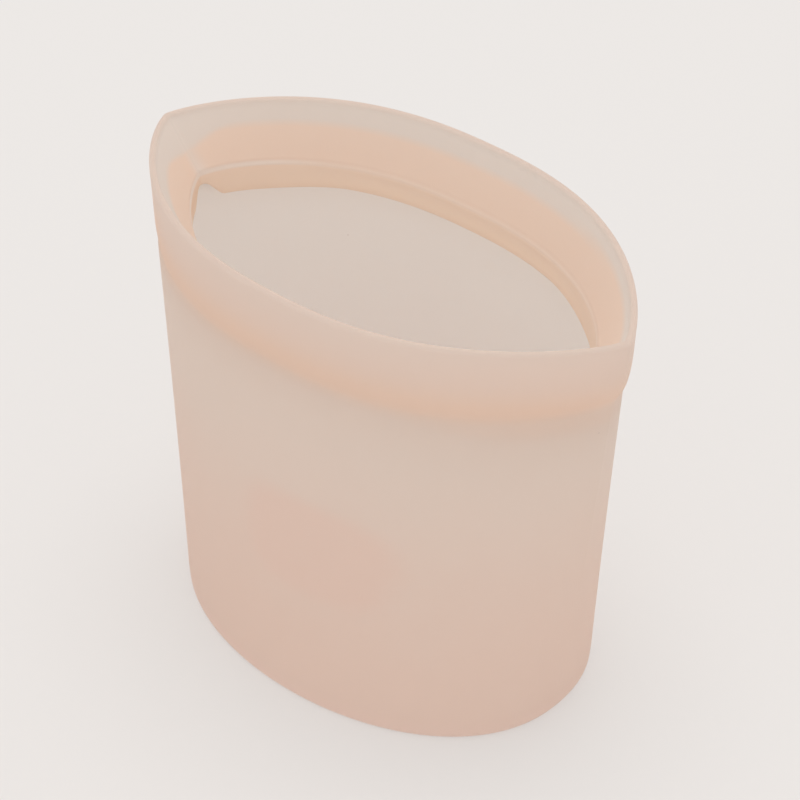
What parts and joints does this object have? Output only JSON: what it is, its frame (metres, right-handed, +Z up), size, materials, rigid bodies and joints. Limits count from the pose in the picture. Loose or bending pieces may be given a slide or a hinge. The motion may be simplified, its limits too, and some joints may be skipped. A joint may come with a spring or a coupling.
{
  "type": "reusable silicone food bag",
  "caption": "Stand-up moulded silicone food bag with an oval flat base and a wide pointed-oval mouth whose flared lips press shut on a tongue-and-groove zip.",
  "frame": {"origin": "centre of the oval foot, on the surface that the bag stands on", "axes": "+X along the mouth's long axis to the right-hand zip end, +Y from the front lip (tongue) to the back lip (groove), +Z up"},
  "size_m": [0.19, 0.109, 0.162],
  "materials": {
    "wall": "matt translucent peach silicone, 2 mm thick",
    "lip_band": "matt translucent peach silicone, thicker and more opaque at the zip",
    "zip": "satin peach silicone bead",
    "foot": "matt peach silicone, slightly pinker where it is thick"
  },
  "bodies": {
    "root": {"foot_ring": "foot", "base_floor": "foot", "front_wall": "wall", "back_wall": "wall", "left_side_wall": "wall", "right_side_wall": "wall", "left_zip_end": "lip_band", "right_zip_end": "lip_band"},
    "front_lip_mid_body": {"front_lip_mid": "lip_band", "zip_tongue_mid": "zip"},
    "back_lip_mid_body": {"back_lip_mid": "lip_band"},
    "front_lip_right_1_body": {"front_lip_right_1": "lip_band", "zip_tongue_right_1": "zip"},
    "front_lip_right_2_body": {"front_lip_right_2": "lip_band", "zip_tongue_right_2": "zip"},
    "front_lip_right_3_body": {"front_lip_right_3": "lip_band", "zip_tongue_right_3": "zip"},
    "front_lip_right_4_body": {"front_lip_right_4": "lip_band", "zip_tongue_right_4": "zip"},
    "front_lip_left_1_body": {"front_lip_left_1": "lip_band", "zip_tongue_left_1": "zip"},
    "front_lip_left_2_body": {"front_lip_left_2": "lip_band", "zip_tongue_left_2": "zip"},
    "front_lip_left_3_body": {"front_lip_left_3": "lip_band", "zip_tongue_left_3": "zip"},
    "front_lip_left_4_body": {"front_lip_left_4": "lip_band", "zip_tongue_left_4": "zip"},
    "back_lip_right_1_body": {"back_lip_right_1": "lip_band"},
    "back_lip_right_2_body": {"back_lip_right_2": "lip_band"},
    "back_lip_right_3_body": {"back_lip_right_3": "lip_band"},
    "back_lip_right_4_body": {"back_lip_right_4": "lip_band"},
    "back_lip_left_1_body": {"back_lip_left_1": "lip_band"},
    "back_lip_left_2_body": {"back_lip_left_2": "lip_band"},
    "back_lip_left_3_body": {"back_lip_left_3": "lip_band"},
    "back_lip_left_4_body": {"back_lip_left_4": "lip_band"}
  },
  "joints": [
    {"name": "mouth_close", "type": "slide", "parent": "root", "child": "front_lip_mid_body", "axis": [0, 1, 0], "range_m": [0, 0.04171], "stiffness_N_per_m": 30},
    {"name": "back_lip_close", "type": "slide", "parent": "root", "child": "back_lip_mid_body", "axis": [0, -1, 0], "range_m": [0, 0.04172]},
    {"name": "front_right_bend_1", "type": "hinge", "parent": "front_lip_mid_body", "child": "front_lip_right_1_body", "pos_m": [0.008, -0.04186, 0.139], "axis": [0, 0, -1], "range_deg": [0, 6.28]},
    {"name": "front_right_bend_2", "type": "hinge", "parent": "front_lip_right_1_body", "child": "front_lip_right_2_body", "pos_m": [0.0239, -0.04012, 0.139], "axis": [0, 0, -1], "range_deg": [0, 9.55]},
    {"name": "front_right_bend_3", "type": "hinge", "parent": "front_lip_right_2_body", "child": "front_lip_right_3_body", "pos_m": [0.0393, -0.03576, 0.139], "axis": [0, 0, -1], "range_deg": [0, 10.61]},
    {"name": "front_right_bend_4", "type": "hinge", "parent": "front_lip_right_3_body", "child": "front_lip_right_4_body", "pos_m": [0.05363, -0.02865, 0.139], "axis": [0, 0, -1], "range_deg": [0, 10.37]},
    {"name": "front_left_bend_1", "type": "hinge", "parent": "front_lip_mid_body", "child": "front_lip_left_1_body", "pos_m": [-0.008, -0.04186, 0.139], "axis": [0, 0, 1], "range_deg": [0, 6.28]},
    {"name": "front_left_bend_2", "type": "hinge", "parent": "front_lip_left_1_body", "child": "front_lip_left_2_body", "pos_m": [-0.0239, -0.04012, 0.139], "axis": [0, 0, 1], "range_deg": [0, 9.55]},
    {"name": "front_left_bend_3", "type": "hinge", "parent": "front_lip_left_2_body", "child": "front_lip_left_3_body", "pos_m": [-0.0393, -0.03576, 0.139], "axis": [0, 0, 1], "range_deg": [0, 10.61]},
    {"name": "front_left_bend_4", "type": "hinge", "parent": "front_lip_left_3_body", "child": "front_lip_left_4_body", "pos_m": [-0.05363, -0.02865, 0.139], "axis": [0, 0, 1], "range_deg": [0, 10.37]},
    {"name": "back_right_bend_1", "type": "hinge", "parent": "back_lip_mid_body", "child": "back_lip_right_1_body", "pos_m": [0.008, 0.04186, 0.139], "axis": [0, 0, 1], "range_deg": [0, 6.28]},
    {"name": "back_right_bend_2", "type": "hinge", "parent": "back_lip_right_1_body", "child": "back_lip_right_2_body", "pos_m": [0.0239, 0.04012, 0.139], "axis": [0, 0, 1], "range_deg": [0, 9.55]},
    {"name": "back_right_bend_3", "type": "hinge", "parent": "back_lip_right_2_body", "child": "back_lip_right_3_body", "pos_m": [0.0393, 0.03576, 0.139], "axis": [0, 0, 1], "range_deg": [0, 10.61]},
    {"name": "back_right_bend_4", "type": "hinge", "parent": "back_lip_right_3_body", "child": "back_lip_right_4_body", "pos_m": [0.05363, 0.02865, 0.139], "axis": [0, 0, 1], "range_deg": [0, 10.37]},
    {"name": "back_left_bend_1", "type": "hinge", "parent": "back_lip_mid_body", "child": "back_lip_left_1_body", "pos_m": [-0.008, 0.04186, 0.139], "axis": [0, 0, -1], "range_deg": [0, 6.28]},
    {"name": "back_left_bend_2", "type": "hinge", "parent": "back_lip_left_1_body", "child": "back_lip_left_2_body", "pos_m": [-0.0239, 0.04012, 0.139], "axis": [0, 0, -1], "range_deg": [0, 9.55]},
    {"name": "back_left_bend_3", "type": "hinge", "parent": "back_lip_left_2_body", "child": "back_lip_left_3_body", "pos_m": [-0.0393, 0.03576, 0.139], "axis": [0, 0, -1], "range_deg": [0, 10.61]},
    {"name": "back_left_bend_4", "type": "hinge", "parent": "back_lip_left_3_body", "child": "back_lip_left_4_body", "pos_m": [-0.05363, 0.02865, 0.139], "axis": [0, 0, -1], "range_deg": [0, 10.37]}
  ],
  "couplings": [
    {"joint": "back_lip_close", "follows": "mouth_close", "ratio": 1},
    {"joint": "front_right_bend_1", "follows": "mouth_close", "rad_per_m": 2.6218},
    {"joint": "front_right_bend_2", "follows": "mouth_close", "rad_per_m": 3.9902},
    {"joint": "front_right_bend_3", "follows": "mouth_close", "rad_per_m": 4.433},
    {"joint": "front_right_bend_4", "follows": "mouth_close", "rad_per_m": 4.3355},
    {"joint": "front_left_bend_1", "follows": "mouth_close", "rad_per_m": 2.6218},
    {"joint": "front_left_bend_2", "follows": "mouth_close", "rad_per_m": 3.9902},
    {"joint": "front_left_bend_3", "follows": "mouth_close", "rad_per_m": 4.433},
    {"joint": "front_left_bend_4", "follows": "mouth_close", "rad_per_m": 4.3355},
    {"joint": "back_right_bend_1", "follows": "mouth_close", "rad_per_m": 2.6218},
    {"joint": "back_right_bend_2", "follows": "mouth_close", "rad_per_m": 3.9902},
    {"joint": "back_right_bend_3", "follows": "mouth_close", "rad_per_m": 4.433},
    {"joint": "back_right_bend_4", "follows": "mouth_close", "rad_per_m": 4.3355},
    {"joint": "back_left_bend_1", "follows": "mouth_close", "rad_per_m": 2.6218},
    {"joint": "back_left_bend_2", "follows": "mouth_close", "rad_per_m": 3.9902},
    {"joint": "back_left_bend_3", "follows": "mouth_close", "rad_per_m": 4.433},
    {"joint": "back_left_bend_4", "follows": "mouth_close", "rad_per_m": 4.3355}
  ]
}
